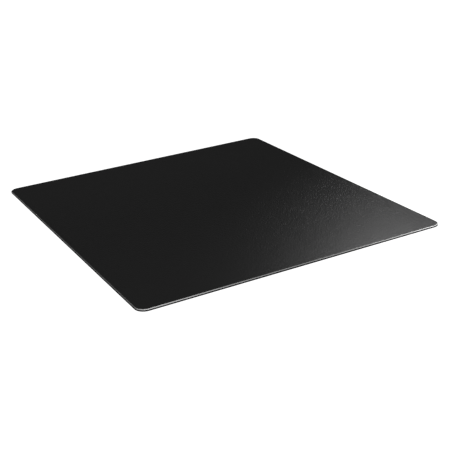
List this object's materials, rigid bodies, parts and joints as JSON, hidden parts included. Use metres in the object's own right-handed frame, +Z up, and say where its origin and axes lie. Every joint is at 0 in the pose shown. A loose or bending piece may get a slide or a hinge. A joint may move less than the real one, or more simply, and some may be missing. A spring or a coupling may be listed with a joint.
{
  "type": "chair mat",
  "caption": "Flat black laminated chair mat with rounded corners and a bevelled rim, which lies on the floor under an office chair so that its casters roll on the mat.",
  "frame": {"origin": "centre of the underside, in the plane of the floor that the mat lies on", "axes": "+X along the long side, +Y along the short side, +Z up through the layers, out of the rolling surface"},
  "size_m": [1.3, 1.2, 0.0075],
  "materials": {
    "wear_surface": "satin",
    "core_plastic": "matte",
    "adhesive_film": "satin",
    "grip_rubber": "matte"
  },
  "bodies": {
    "root": {"wear_sheet": "wear_surface", "upper_bond_film": "adhesive_film", "core_sheet": "core_plastic", "lower_bond_film": "adhesive_film", "grip_backing": "grip_rubber"}
  },
  "joints": []
}
